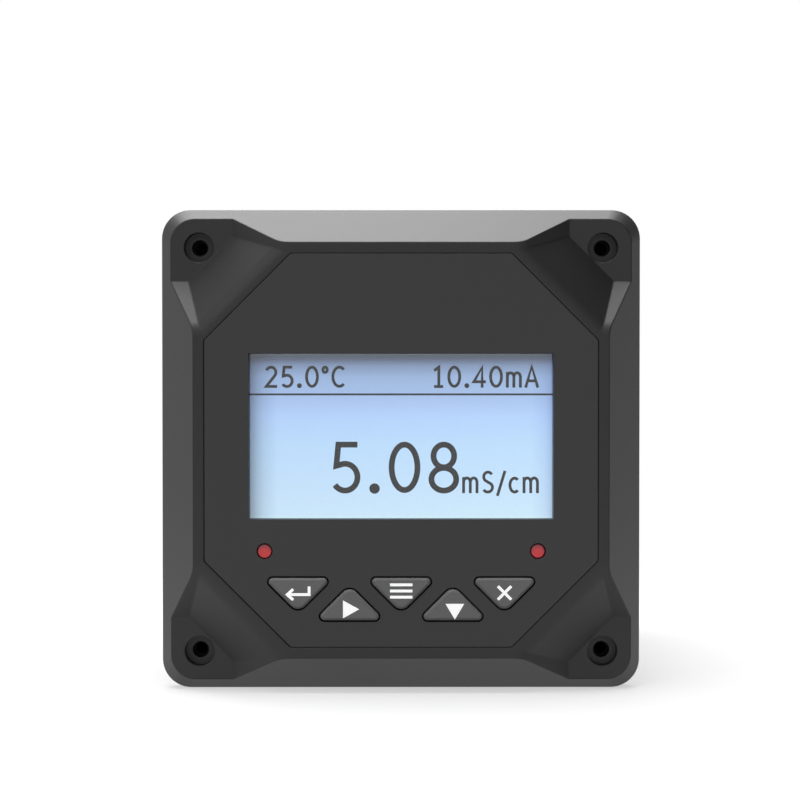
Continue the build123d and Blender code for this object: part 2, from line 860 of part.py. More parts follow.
with BuildPart() as fuse_clips:
    with BuildSketch(under):
        with Locations((fuse_offset, input_row)):
            with GridLocations(fuse_length - clip_length, 0, 2, 1):
                Rectangle(clip_length, clip_width)
    extrude(amount=-clip_height)
    with Locations(fuse_axis):
        Cylinder(fuse_radius + snug, fuse_length + clip_length, mode=Mode.SUBTRACT)
    with BuildSketch(under.offset(-clip_height)):
        with Locations((fuse_offset, input_row)):
            Rectangle(fuse_length + clip_length, clip_mouth)
    extrude(amount=clip_height / 2, mode=Mode.SUBTRACT)
save(fuse_clips, "fuse_clips")

with BuildPart() as surge_disc:
    disc_centre = (surge_offset, input_row, board_face - surge_radius)
    with Locations(Plane(origin=disc_centre, z_dir=(1, 0, 0))):
        Cylinder(surge_radius, surge_thick)
save(surge_disc, "surge_disc")

with BuildPart() as choke:
    with BuildSketch(under):
        with Locations((choke_offset, input_row)):
            Circle(choke_radius)
            Circle(choke_bore, mode=Mode.SUBTRACT)
    extrude(amount=-choke_height)
save(choke, "choke")

relay_places = [((index - (relays - 1) / 2) * relay_pitch, relay_row) for index in range(relays)]
make_blocks(under, -relay_height, (relay_width, relay_length), relay_places, "output_relays")

# Parts that stand on the main board
top = Plane.XY.offset(-board_face)
processor_place = (0, processor_start + processor_size / 2)
make_blocks(top, processor_height, (processor_size, processor_size), [processor_place], "processor")
isolator_place = (isolator_offset, isolator_start + isolator_length / 2)
make_blocks(top, isolator_height, (isolator_width, isolator_length), [isolator_place], "isolation_module")

with BuildPart() as input_shield:
    with BuildSketch(top):
        with Locations((shield_offset, shield_row)):
            Rectangle(shield_width, shield_length)
    extrude(amount=shield_height)
    with BuildSketch(top):
        with Locations((shield_offset, shield_row)):
            Rectangle(shield_width - 2 * sheet, shield_length - 2 * sheet)
    extrude(amount=shield_height - sheet, mode=Mode.SUBTRACT)
save(input_shield, "input_shield")


def make_terminals(level, name):
    """A terminal block with its screws and wire cages, all reached from the rear."""
    rear = layer(terminal_layer)
    with BuildPart() as block:
        with BuildSketch(rear):
            with Locations((0, level)):
                Rectangle(block_length, block_height)
        extrude(amount=block_depth)
        with BuildSketch(rear):
            with Locations((0, level + well_rise)):
                with GridLocations(pole_pitch, 0, poles, 1):
                    Circle(well_radius)
        extrude(amount=well_depth, mode=Mode.SUBTRACT)
        with BuildSketch(rear):
            with Locations((0, level - entry_drop)):
                with GridLocations(pole_pitch, 0, poles, 1):
                    Rectangle(entry_width, entry_height)
        extrude(amount=entry_depth, mode=Mode.SUBTRACT)
    save(block, f"terminal_block_{name}")
    with BuildPart() as screws:
        screw_length = well_depth - terminal_screw_sunk - seat
        with BuildSketch(layer(terminal_layer + terminal_screw_sunk)):
            with Locations((0, level + well_rise)):
                with GridLocations(pole_pitch, 0, poles, 1):
                    Circle(terminal_screw_radius)
        extrude(amount=screw_length)
        with BuildSketch(layer(terminal_layer + terminal_screw_sunk)):
            with Locations((0, level + well_rise)):
                with GridLocations(pole_pitch, 0, poles, 1):
                    Rectangle(2 * terminal_screw_radius, slot_width)
        extrude(amount=slot_depth, mode=Mode.SUBTRACT)
    save(screws, f"terminal_screws_{name}")
    with BuildPart() as cages:
        with BuildSketch(layer(terminal_layer + cage_sunk)):
            with Locations((0, level - entry_drop)):
                with GridLocations(pole_pitch, 0, poles, 1):
                    Rectangle(entry_width - 2 * snug, entry_height - 2 * snug)
                    Rectangle(entry_width - 2 * sheet, entry_height - 2 * sheet, mode=Mode.SUBTRACT)
        extrude(amount=entry_depth - cage_sunk - seat)
    save(cages, f"wire_cages_{name}")


make_terminals(block_level, "upper")
make_terminals(-block_level, "lower")


def make_clamp(side, name):
    """A clamp that slides on the side rail, with a brass insert and a long screw that bears on the panel."""
    shoe_inner = channel_floor + loose
    shoe_outer = rail_top + loose + housing_wall
    head_start = channel_floor + rail_stem_height - loose
    with BuildPart() as clamp:
        with BuildSketch(layer(-clamp_end)):
            with Locations((side * (shoe_inner + shoe_outer) / 2, 0)):
                Rectangle(shoe_outer - shoe_inner, clamp_shoe)
            with Locations((side * (shoe_inner + clamp_outer) / 2, 0)):
                Rectangle(clamp_outer - shoe_inner, clamp_tower)
            with Locations((side * (shoe_inner + head_start) / 2, 0)):
                Rectangle(head_start - shoe_inner, rail_stem + 2 * loose, mode=Mode.SUBTRACT)
            with Locations((side * (head_start + rail_top + loose) / 2, 0)):
                Rectangle(rail_top + loose - head_start, rail_head + 2 * loose, mode=Mode.SUBTRACT)
        extrude(amount=clamp_length)
        long_edges = clamp.edges().filter_by(Axis.Y).sort_by(Axis.X)
        fillet(long_edges[-2:] if side > 0 else long_edges[:2], clamp_length / 8)
        with BuildSketch(layer(-clamp_end)):
            with Locations((side * clamp_screw_axis, 0)):
                Circle(clamp_screw_radius + 2 * loose)
        extrude(amount=clamp_length, mode=Mode.SUBTRACT)
        with BuildSketch(layer(-clamp_end)):
            with Locations((side * clamp_screw_axis, 0)):
                Circle(clamp_insert_radius)
        extrude(amount=clamp_insert_length, mode=Mode.SUBTRACT)
    save(clamp, f"mounting_clamp_{name}")
    with BuildPart() as insert:
        with BuildSketch(layer(-clamp_end)):
            with Locations((side * clamp_screw_axis, 0)):
                Circle(clamp_insert_radius - snug)
                Circle(clamp_screw_radius + turning, mode=Mode.SUBTRACT)
        extrude(amount=clamp_insert_length - seat)
    save(insert, f"clamp_insert_{name}")
    with BuildPart() as screw:
        with Locations(layer(-screw_end)):
            with Locations((side * clamp_screw_axis, 0)):
                Cylinder(clamp_screw_radius, clamp_screw_length, align=middle)
        chamfer(screw.edges().sort_by(Axis.Y)[0], clamp_screw_radius / 4)
        with Locations(layer(-screw_end - clamp_head_thick)):
            with Locations((side * clamp_screw_axis, 0)):
                Cylinder(clamp_head_radius, clamp_head_thick, align=middle)
                Box(2 * clamp_head_radius, 2 * slot_width, 2 * slot_depth, align=middle, mode=Mode.SUBTRACT)
    save(screw, f"clamp_screw_{name}")


make_clamp(-1, "left")
make_clamp(1, "right")
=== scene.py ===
"""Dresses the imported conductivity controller: its finishes, its lit reading, its key symbols and its screws.

Everything is in metres in the frame of the model: +X to the right, +Z up, and the front looks along -Y.
A layer is a distance in front of the panel, so a point on layer L has y = -L.
"""

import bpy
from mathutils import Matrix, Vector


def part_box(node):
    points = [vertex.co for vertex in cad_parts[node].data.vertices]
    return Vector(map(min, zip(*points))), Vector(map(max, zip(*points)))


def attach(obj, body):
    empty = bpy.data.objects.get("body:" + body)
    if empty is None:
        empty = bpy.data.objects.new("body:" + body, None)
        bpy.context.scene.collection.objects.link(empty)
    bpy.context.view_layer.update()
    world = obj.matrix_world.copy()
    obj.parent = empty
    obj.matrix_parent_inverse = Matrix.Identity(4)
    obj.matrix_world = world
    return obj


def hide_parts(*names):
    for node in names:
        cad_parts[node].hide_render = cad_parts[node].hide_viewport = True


bl_info = {
    "name": "Panel controller looks",
    "version": (1, 0, 0),
    "blender": (4, 5, 0),
    "location": "3D View > Sidebar > Controller",
    "description": "Finishes, display, symbols, screws and studio for a panel-mounted controller",
    "category": "Object",
}

import bpy
import numpy as np

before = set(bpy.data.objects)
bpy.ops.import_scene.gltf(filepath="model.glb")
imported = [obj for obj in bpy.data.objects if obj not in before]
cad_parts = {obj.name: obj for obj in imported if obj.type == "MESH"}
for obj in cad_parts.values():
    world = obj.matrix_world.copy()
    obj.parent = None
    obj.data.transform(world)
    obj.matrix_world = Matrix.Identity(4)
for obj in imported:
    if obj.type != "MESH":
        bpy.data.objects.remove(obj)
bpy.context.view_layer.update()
MM = 0.001


def corners(node):
    """Lowest and highest corner of a CAD node as two numpy rows."""
    low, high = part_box(node)
    return np.array(low), np.array(high)


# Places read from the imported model
GLASS_FRONT = -corners("display_glass")[0][1]
KEY_FRONT = -corners("key_menu")[0][1]
REAR = corners("rear_plate")[1][1]
KEYS = ("enter", "right", "menu", "down", "escape")
INK_LIFT = 0.02 * MM  # how far print stands off the surface that carries it
WINDOW_LAP = 2.2 * MM  # the clear pane reaches this far behind the opening's edge
WINDOW_LOW = corners("display_window")[0][[0, 2]] + WINDOW_LAP
WINDOW_HIGH = corners("display_window")[1][[0, 2]] - WINDOW_LAP


def linear(hex_colour):
    """Turns an sRGB hex value into linear red, green, blue and alpha."""
    value = np.array([int(hex_colour[i : i + 2], 16) for i in (0, 2, 4)]) / 255
    low, high = value / 12.92, ((value + 0.055) / 1.055) ** 2.4
    return (*np.where(value <= 0.04045, low, high).tolist(), 1.0)


def add(tree, kind, inputs=None, stops=(), **settings):
    """Adds a node with its settings and links.

    Settings are the node's properties, or inputs by name. The inputs dictionary holds outputs to link
    and values to set, by name or by number. Stops are a ramp's places and hex colours.
    """
    node = tree.nodes.new(kind)
    for name, value in settings.items():
        if hasattr(node, name):
            setattr(node, name, value)
        else:
            node.inputs[name.replace("_", " ")].default_value = value
    for name, value in (inputs or {}).items():
        if isinstance(value, bpy.types.NodeSocket):
            tree.links.new(value, node.inputs[name])
        else:
            node.inputs[name].default_value = value
    if stops:
        elements = node.color_ramp.elements
        while len(elements) < len(stops):
            elements.new(0.5)
        for element, (spot, colour) in zip(elements, stops):
            element.position = spot
            element.color = linear(colour)
    return node


def new_material(name):
    """An empty node material, its tree, and the object coordinates that every pattern here uses."""
    material = bpy.data.materials.new(name)
    material.use_nodes = True
    tree = material.node_tree
    tree.nodes.clear()
    return material, tree, add(tree, "ShaderNodeTexCoord").outputs["Object"]


def close(material, tree, shader):
    """Links the finished shader to the output and hands the material back."""
    add(tree, "ShaderNodeOutputMaterial", {"Surface": shader.outputs[0]})
    return material


def tinted(tree, place, colour, spread, scale):
    """The colour, drifting by a share of itself over the surface at the given scale.

    The colour is an sRGB hex value, or a linear colour from the panel. The scale is one over the size
    of a patch in metres.
    """
    base = linear(colour) if isinstance(colour, str) else (*colour, 1.0)
    drift = add(tree, "ShaderNodeTexNoise", {"Vector": place}, Scale=scale, Detail=2.0)
    amount = add(
        tree, "ShaderNodeMapRange", {"Value": drift.outputs["Fac"]}, To_Min=1 - spread, To_Max=1 + spread
    )
    shade = add(
        tree,
        "ShaderNodeMix",
        {0: 1.0, 6: base, 7: amount.outputs[0]},
        data_type="RGBA",
        blend_type="MULTIPLY",
    )
    return shade.outputs[2]


def moulded_plastic(
    name, colour, roughness=0.5, grain_mm=0.3, depth=0.25, edge_mm=0.2, level=0.4, painted_edge_shade=0.0
):
    """Plastic or rubber from an eroded mould: a dull, even skin of fine shallow pits.

    Edges show the small radius that a mould leaves, edge_mm, and the colour drifts by a few percent
    over centimetres, as filled plastic does. The real grain is some hundredths of a millimetre, too
    fine to show, so it is drawn at grain_mm. On the edges the colour loses a share, the last
    argument, as painted shade.
    """
    material, tree, place = new_material(name)
    grain = add(tree, "ShaderNodeTexNoise", {"Vector": place}, Scale=1 / (grain_mm * MM), Detail=2.0)
    rough = add(
        tree,
        "ShaderNodeMapRange",
        {"Value": grain.outputs["Fac"]},
        To_Min=roughness - 0.06,
        To_Max=roughness + 0.06,
    )
    edge = add(tree, "ShaderNodeBevel", samples=6, Radius=edge_mm * MM)
    bump = add(
        tree,
        "ShaderNodeBump",
        {"Height": grain.outputs["Fac"], "Normal": edge.outputs[0]},
        Strength=depth,
        Distance=0.03 * MM,
    )
    base = tinted(tree, place, colour, 0.05, 45.0)
    if painted_edge_shade:
        # How far the edge's radius has turned away from its face: there the colour is darkened as painted
        # shade
        fine = add(tree, "ShaderNodeBevel", samples=6, Radius=0.8 * edge_mm * MM)
        face = add(tree, "ShaderNodeNewGeometry").outputs["True Normal"]
        turned = add(tree, "ShaderNodeVectorMath", {0: fine.outputs[0], 1: face}, operation="DOT_PRODUCT")
        open_face = add(
            tree,
            "ShaderNodeMapRange",
            {"Value": turned.outputs["Value"]},
            From_Min=0.95,
            From_Max=0.99,
            To_Min=1 - painted_edge_shade,
            To_Max=1.0,
        )
        scaled = {0: base, "Scale": open_face.outputs[0]}
        base = add(tree, "ShaderNodeVectorMath", scaled, operation="SCALE").outputs[0]
    links = {"Base Color": base, "Roughness": rough.outputs[0], "Normal": bump.outputs[0]}
    shader = add(tree, "ShaderNodeBsdfPrincipled", links, IOR=1.5, Specular_IOR_Level=level)
    return close(material, tree, shader)


def clear_acrylic(name):
    """Polished and clear, with a faint even gloss and no colour of its own."""
    material, tree, place = new_material(name)
    haze = add(tree, "ShaderNodeTexNoise", {"Vector": place}, Scale=30.0, Detail=1.0)
    rough = add(tree, "ShaderNodeMapRange", {"Value": haze.outputs["Fac"]}, To_Min=0.0, To_Max=0.03)
    shader = add(
        tree,
        "ShaderNodeBsdfPrincipled",
        {"Roughness": rough.outputs[0]},
        Base_Color=(1, 1, 1, 1),
        IOR=1.49,
        Specular_IOR_Level=0.1,
        Transmission_Weight=1.0,
    )
    return close(material, tree, shader)


# Colour of the lit field from the window's foot to its head, darkening towards the head as painted shade from
# the window's upper edge, and painted shade from left to right, darkest at the left edge
DISPLAY_RISE_PAINTED_SHADE = (
    (0.0, "DAF6FF"), (0.02, "CBEBFF"), (0.15, "C5E5FF"), (0.45, "B9DEFF"), (0.62, "B0D2FF"),
    (0.76, "9DBCE8"), (0.86, "93B1DA"), (0.93, "748BAF"), (0.965, "4A5770"), (0.985, "3E4A5A"),
    (1.0, "525A66"),
)
DISPLAY_PAINTED_SIDE_SHADE = (
    (0.0, "989A9E"), (0.01, "A8ABB0"), (0.022, "C4C6CB"), (0.045, "E0E2E6"), (0.09, "FAFAFC"),
    (0.93, "FFFFFF"), (0.975, "F0F2F8"), (0.99, "E2E4EE"), (1.0, "C8CAD4"),
)


def lit_display(name, strength):
    """A clear liquid crystal over a light guide: blue-white, palest low down, with painted shade from the
    window.

    The window's edges stand before the glass, and their shade is painted into the emitted colour: longest
    under the upper edge and thin at the sides.
    The light guide shows as a slow drift and a fine sparkle, drawn at half a millimetre.
    """
    material, tree, place = new_material(name)
    axes = add(tree, "ShaderNodeSeparateXYZ", {"Vector": place})
    height = add(
        tree,
        "ShaderNodeMapRange",
        {"Value": axes.outputs["Z"]},
        From_Min=float(WINDOW_LOW[1]),
        From_Max=float(WINDOW_HIGH[1]),
    )
    # Painted shade: the ramp's top stops darken the field under the window's upper edge
    field = add(
        tree,
        "ShaderNodeValToRGB",
        {"Fac": height.outputs[0]},
        stops=DISPLAY_RISE_PAINTED_SHADE,
    )
    breadth = add(
        tree,
        "ShaderNodeMapRange",
        {"Value": axes.outputs["X"]},
        From_Min=float(WINDOW_LOW[0]),
        From_Max=float(WINDOW_HIGH[0]),
    )
    # Painted shade from the window's sides, darkest at the left edge
    shade = add(
        tree,
        "ShaderNodeValToRGB",
        {"Fac": breadth.outputs[0]},
        stops=DISPLAY_PAINTED_SIDE_SHADE,
    )
    sparkle = add(tree, "ShaderNodeTexNoise", {"Vector": place}, Scale=2200.0, Detail=1.0)
    grain = add(tree, "ShaderNodeMapRange", {"Value": sparkle.outputs["Fac"]}, To_Min=0.97, To_Max=1.03)
    shaded = add(
        tree, "ShaderNodeVectorMath", {0: field.outputs[0], 1: shade.outputs[0]}, operation="MULTIPLY"
    )
    mixed = add(
        tree, "ShaderNodeVectorMath", {0: shaded.outputs[0], "Scale": grain.outputs[0]}, operation="SCALE"
    )
    shader = add(
        tree,
        "ShaderNodeBsdfPrincipled",
        {"Emission Color": mixed.outputs[0]},
        Base_Color=linear("14181C"),
        Roughness=0.5,
        Emission_Strength=strength,
    )
    return close(material, tree, shader)


def printed_ink(name, colour, roughness=0.5, level=0.5, ink_painted_glow=0.0):
    """Printed ink: flat and opaque, a little uneven where it was laid down.

    A white ink can carry a painted glow, a faint emission that lifts it a little above the light that falls on
    it.
    The weave of the printing mesh is drawn at a sixth of a millimetre.
    """
    material, tree, place = new_material(name)
    weave = add(tree, "ShaderNodeTexNoise", {"Vector": place}, Scale=6000.0, Detail=1.0)
    bump = add(
        tree, "ShaderNodeBump", {"Height": weave.outputs["Fac"]}, Strength=0.1, Distance=0.01 * MM
    )
    links = {"Base Color": tinted(tree, place, colour, 0.03, 900.0), "Normal": bump.outputs[0]}
    shader = add(
        tree,
        "ShaderNodeBsdfPrincipled",
        links,
        Roughness=roughness,
        Specular_IOR_Level=level,
        Emission_Color=(1.0, 1.0, 1.0, 1.0),
        Emission_Strength=ink_painted_glow,
    )
    return close(material, tree, shader)


def epoxy_with_painted_light(name, centre, dark, pale):
    """Tinted cast epoxy with painted light in its colour: pale low in the lens and darker towards its rim.

    The colour goes from pale to dark with the distance from a point 0.5 mm below the lens's centre.
    """
    material, tree, place = new_material(name)
    spot = (centre[0], centre[1], centre[2] - 0.5 * MM)
    away = add(tree, "ShaderNodeVectorMath", {0: place, 1: spot}, operation="DISTANCE")
    depth = add(
        tree,
        "ShaderNodeMapRange",
        {"Value": away.outputs["Value"]},
        From_Min=0.8 * MM,
        From_Max=2.0 * MM,
    )
    # Painted light: pale near the point low in the lens, dark at the rim
    colour = add(
        tree,
        "ShaderNodeValToRGB",
        {"Fac": depth.outputs[0]},
        stops=[(0.0, pale), (0.45, "A22A32"), (1.0, dark)],
    )
    shader = add(
        tree,
        "ShaderNodeBsdfPrincipled",
        {"Base Color": colour.outputs[0]},
        Roughness=0.28,
        Subsurface_Weight=0.15,
        Subsurface_Scale=0.0005,
        IOR=1.53,
    )
    return close(material, tree, shader)


def plated_metal(name, colour, roughness, grain_mm=0.4):
    """Plated, turned or oxidised metal, with fine tool marks that soften its reflections.

    The marks are drawn at grain_mm, coarser than the real ones, so that they show.
    """
    material, tree, place = new_material(name)
    marks = add(tree, "ShaderNodeTexNoise", {"Vector": place}, Scale=1 / (grain_mm * MM), Detail=3.0)
    rough = add(
        tree,
        "ShaderNodeMapRange",
        {"Value": marks.outputs["Fac"]},
        To_Min=roughness - 0.08,
        To_Max=roughness + 0.08,
    )
    edge = add(tree, "ShaderNodeBevel", samples=4, Radius=0.08 * MM)
    links = {
        "Base Color": tinted(tree, place, colour, 0.06, 300.0),
        "Roughness": rough.outputs[0],
        "Normal": edge.outputs[0],
    }
    shader = add(tree, "ShaderNodeBsdfPrincipled", links, Metallic=1.0)
    return close(material, tree, shader)


def soft_rubber(name, colour, roughness=0.75):
    """Moulded rubber or foam: matt, with a bloom of paler specks drawn a third of a millimetre wide."""
    material, tree, place = new_material(name)
    bloom = add(tree, "ShaderNodeTexNoise", {"Vector": place}, Scale=3000.0, Detail=3.0)
    bump = add(
        tree, "ShaderNodeBump", {"Height": bloom.outputs["Fac"]}, Strength=0.4, Distance=0.03 * MM
    )
    links = {"Base Color": tinted(tree, place, colour, 0.12, 700.0), "Normal": bump.outputs[0]}
    shader = add(
        tree, "ShaderNodeBsdfPrincipled", links, Roughness=roughness, Specular_IOR_Level=0.3
    )
    return close(material, tree, shader)


def circuit_laminate(name, mask, track):
    """Woven glass and epoxy under solder mask: the copper tracks show as paler lines beneath it.

    The lines are about 0.3 mm wide, in rows 2.8 mm apart, as on such boards.
    """
    material, tree, place = new_material(name)
    tracks = add(
        tree,
        "ShaderNodeTexBrick",
        {"Vector": place},
        Scale=90.0,
        Mortar_Size=0.012,
        Color1=linear(mask),
        Color2=linear(mask),
        Mortar=linear(track),
    )
    shader = add(
        tree, "ShaderNodeBsdfPrincipled", {"Base Color": tracks.outputs["Color"]}, Roughness=0.35
    )
    return close(material, tree, shader)


def shown_mesh(name, points, faces, body, slot, material, smooth=True):
    """Puts points and faces into one object that rides on a body."""
    mesh = bpy.data.meshes.new(name)
    mesh.from_pydata(points.tolist(), [], faces if isinstance(faces, list) else faces.tolist())
    mesh.polygons.foreach_set("use_smooth", np.full(len(mesh.polygons), smooth))
    mesh.update()
    piece = bpy.data.objects.new(name, mesh)
    bpy.context.scene.collection.objects.link(piece)
    mesh.materials.append(material)
    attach(piece, body)
    return piece


def grid_faces(rows, columns, wrap=False):
    """The quads of a grid of points, with the last column joined to the first if it wraps.

    The quad at row i and column j has corners i * columns + j, the one in row i + 1, and the two
    beside those in column j + 1.
    """
    across = np.arange(columns if wrap else columns - 1)
    down = np.arange(rows - 1)[:, None]
    a = down * columns + across
    b = down * columns + (across + 1) % columns
    return np.stack([a + columns, b + columns, b, a], axis=-1).reshape(-1, 4)


def joined(parts):
    """Several pairs of points and quads as one pair."""
    points, faces, start = [], [], 0
    for some, quads in parts:
        points.append(some)
        faces.append(quads + start)
        start += len(some)
    return np.concatenate(points), np.concatenate(faces)


def arc(cx, cy, rx, ry, start, stop, count=22):
    """Points along an ellipse: centre plus radii times cosine and sine of angles in degrees."""
    angle = np.radians(np.linspace(start, stop, count))
    return np.column_stack([cx + rx * np.cos(angle), cy + ry * np.sin(angle)])


def path(*pieces):
    """Arcs and corner points strung together."""
    return np.concatenate([np.atleast_2d(np.asarray(piece, float)) for piece in pieces])


def ribbon(line, width):
    """A flat band of even width along a line: each point moves sideways by half the width.

    Sideways is the turned mean direction of the two runs that meet there, longer at a corner
    by one over the cosine of half the turn, so that the band keeps its width.
    """
    runs = np.diff(line, axis=0)
    runs /= np.linalg.norm(runs, axis=1)[:, None]
    before, after = np.vstack([runs[:1], runs]), np.vstack([runs, runs[-1:]])
    if np.allclose(line[0], line[-1]):
        before[0], after[-1] = runs[-1], runs[0]
    mean = before + after
    mean /= np.linalg.norm(mean, axis=1)[:, None]
    stretch = 1 / np.clip((mean * before).sum(1), 0.45, 1)
    side = np.column_stack([-mean[:, 1], mean[:, 0]]) * (stretch * width / 2)[:, None]
    points = np.stack([line - side, line + side], axis=1).reshape(-1, 2)
    return points, grid_faces(len(line), 2)


# Strokes of each character, for a height of one, with its width last
STROKES = {
    "0": ([arc(0.31, 0.5, 0.25, 0.44, 90, 450, 40)], 0.62),
    "1": ([path((0.12, 0.78), (0.34, 0.94), (0.34, 0.0)), path((0.12, 0.05), (0.54, 0.05))], 0.6),
    "2": ([path(arc(0.29, 0.70, 0.22, 0.24, 160, -35), (0.07, 0.055), (0.57, 0.055))], 0.6),
    "3": ([path(arc(0.27, 0.72, 0.20, 0.22, 145, -80), arc(0.27, 0.27, 0.24, 0.22, 75, -150))], 0.58),
    "4": ([path((0.43, 0.0), (0.43, 0.93), (0.05, 0.27), (0.6, 0.27))], 0.62),
    "5": ([path((0.52, 0.94), (0.15, 0.94), (0.11, 0.53), arc(0.28, 0.31, 0.24, 0.26, 100, -145))], 0.58),
    "6": ([arc(0.32, 0.3, 0.23, 0.25, 90, 450, 36), path(arc(0.56, 0.36, 0.47, 0.57, 105, 185))], 0.6),
    "7": ([path((0.06, 0.94), (0.54, 0.94), (0.21, 0.0))], 0.58),
    "8": ([arc(0.31, 0.72, 0.2, 0.22, 90, 450, 36), arc(0.31, 0.27, 0.24, 0.22, 90, 450, 36)], 0.62),
    "9": ([arc(0.28, 0.7, 0.23, 0.25, 90, 450, 36), path(arc(0.04, 0.64, 0.47, 0.57, -75, 5))], 0.6),
    ".": ([arc(0.13, 0.09, 0.045, 0.045, 0, 360, 24)], 0.26),
    "°": ([arc(0.15, 0.82, 0.1, 0.12, 90, 450, 28)], 0.3),
    "C": ([arc(0.37, 0.5, 0.3, 0.44, 48, 312, 34)], 0.62),
    "A": ([path((0.03, 0.0), (0.31, 0.97), (0.59, 0.0)), path((0.13, 0.31), (0.49, 0.31))], 0.62),
    "S": ([path(arc(0.28, 0.73, 0.19, 0.21, 30, 255), arc(0.27, 0.26, 0.21, 0.21, 75, -150))], 0.54),
    "/": ([path((0.02, -0.12), (0.36, 1.0))], 0.38),
    "c": ([arc(0.27, 0.36, 0.21, 0.31, 48, 312, 26)], 0.48),
    "m": (
        [
            path((0.07, 0.0), (0.07, 0.72)),
            path(arc(0.22, 0.48, 0.15, 0.2, 180, 0), (0.37, 0.0)),
            path(arc(0.52, 0.48, 0.15, 0.2, 180, 0), (0.67, 0.0)),
        ],
        0.74,
    ),
}
LETTER_GAP = 0.14


def text_width(text, height):
    """How far a line of characters reaches."""
    return height * (sum(STROKES[letter][1] for letter in text) + LETTER_GAP * (len(text) - 1))


def text_bands(text, height, weight, left, base):
    """A line of characters as flat bands in the plane of the text, weight being the stroke's width."""
    bands, x = [], left
    for letter in text:
        strokes, width = STROKES[letter]
        for stroke in strokes:
            bands.append(ribbon(np.array([x, base]) + stroke * height, weight))
        x += (width + LETTER_GAP) * height
    return bands


INK_STEP = 0.003 * MM  # each stroke lies this much above the one before, so crossings stay clean


def on_front(bands, layer):
    """Bands in (x, z) laid on planes that face the reader, -Y."""
    points, faces = joined(bands)
    rise = np.repeat(np.arange(len(bands)) % 4 * INK_STEP, [len(band[0]) for band in bands])
    return np.column_stack([points[:, 0], -layer - rise, points[:, 1]]), faces


def on_rear(bands, y):
    """Bands in (x, z) laid on planes that face +Y, read from behind, so x runs the other way."""
    points, faces = joined(bands)
    rise = np.repeat(np.arange(len(bands)) % 4 * INK_STEP, [len(band[0]) for band in bands])
    return np.column_stack([-points[:, 0], y + rise, points[:, 1]]), faces


def dress(nodes, material):
    """Gives CAD nodes their finish."""
    for node in nodes:
        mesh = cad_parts[node].data
        mesh.materials.clear()
        mesh.materials.append(material)


def disc_grid(levels, radius):
    """A square grid of x and z levels whose outermost ring lies on a circle: x = root of R2 - z2."""
    full = np.concatenate([[-radius], levels, [radius]])
    x, z = np.meshgrid(full, full, indexing="ij")
    rim_x, rim_z = np.abs(x) == radius, np.abs(z) == radius
    on_x = np.sign(x) * np.sqrt(np.clip(radius**2 - z**2, 0, None))
    on_z = np.sign(z) * np.sqrt(np.clip(radius**2 - x**2, 0, None))
    corner = rim_x & rim_z
    new_x = np.where(corner, np.sign(x) * radius * 0.5**0.5, np.where(rim_x, on_x, x))
    new_z = np.where(corner, np.sign(z) * radius * 0.5**0.5, np.where(rim_z, on_z, z))
    return new_x, new_z


def screw_shape(levels, head_radius, sunk, t, reach):
    """A screw whose head faces +Y, with its face at y = 0 and its length t along -Y, closed all round.

    The face is a disc grid sunk by sunk(x, z), whose levels come in close pairs at the recess's
    walls. Below it the radius reach(t, a) is carried round at the angles of the grid's rim, and a
    point closes the tip.
    """
    x, z = disc_grid(levels, head_radius)
    count = len(x)
    face = np.column_stack([x.ravel(), -sunk(x, z).ravel(), z.ravel()])
    index = np.arange(count * count).reshape(count, count)
    rim = np.concatenate([index[0, :-1], index[:-1, -1], index[-1, :0:-1], index[:0:-1, 0]])
    a = np.arctan2(face[rim, 2], face[rim, 0])[None, :]
    r = reach(t[:, None], a)
    side = np.stack([r * np.cos(a), 0 * a - t[:, None], r * np.sin(a)], axis=-1).reshape(-1, 3)
    points = np.concatenate([face, side, [[0.0, -t[-1], 0.0]]])
    turn = np.roll(rim, -1)
    first = len(face) + np.arange(len(rim))
    collar = np.stack([rim, first, np.roll(first, -1), turn], axis=-1)
    turned_round = [0, 3, 2, 1]  # the face looks along +Y, so its quads run the other way
    faces = [*grid_faces(count, count)[:, turned_round].tolist(), *collar.tolist()]
    faces += (grid_faces(len(t), len(rim), wrap=True) + len(face)).tolist()
    last = len(points) - 1 - len(rim) + np.arange(len(rim))
    tip = np.full(len(rim), len(points) - 1)
    faces += np.stack([tip, np.roll(last, -1), last], axis=-1).tolist()
    return points, faces


class ControllerLooks(bpy.types.PropertyGroup):
    """The sizes and colours that a user would change."""

    bezel_colour: bpy.props.FloatVectorProperty(
        name="Bezel",
        description="Colour of the moulded bezel",
        subtype="COLOR",
        default=linear("171717")[:3],
        min=0,
        max=1,
    )
    overlay_colour: bpy.props.FloatVectorProperty(
        name="Overlay",
        description="Colour of the front overlay",
        subtype="COLOR",
        default=linear("242424")[:3],
        min=0,
        max=1,
    )
    key_colour: bpy.props.FloatVectorProperty(
        name="Keys",
        description="Colour of the five keys",
        subtype="COLOR",
        default=linear("5B5B5C")[:3],
        min=0,
        max=1,
    )
    housing_colour: bpy.props.FloatVectorProperty(
        name="Housing",
        description="Colour of the rear housing and its plate",
        subtype="COLOR",
        default=linear("2B2C2E")[:3],
        min=0,
        max=1,
    )
    glow: bpy.props.FloatProperty(
        name="Display strength",
        description="How strongly the display shines; 1 shows its colour as written",
        default=0.95,
        min=0,
        max=3,
    )
    figure_height: bpy.props.FloatProperty(
        name="Main figure height",
        description="Height of the large number on the display",
        default=10.7 * MM,
        unit="LENGTH",
        precision=4,
    )
    word_height: bpy.props.FloatProperty(
        name="Small figure height",
        description="Height of the small numbers on the display's top line",
        default=4.5 * MM,
        unit="LENGTH",
        precision=4,
    )
    symbol_size: bpy.props.FloatProperty(
        name="Key symbol size",
        description="Width of the symbols printed on the keys",
        default=4.6 * MM,
        unit="LENGTH",
        precision=4,
    )
    thread_pitch: bpy.props.FloatProperty(
        name="Clamp screw pitch",
        description="Distance from one turn of the clamp screws' thread to the next",
        default=0.7 * MM,
        unit="LENGTH",
        precision=4,
    )


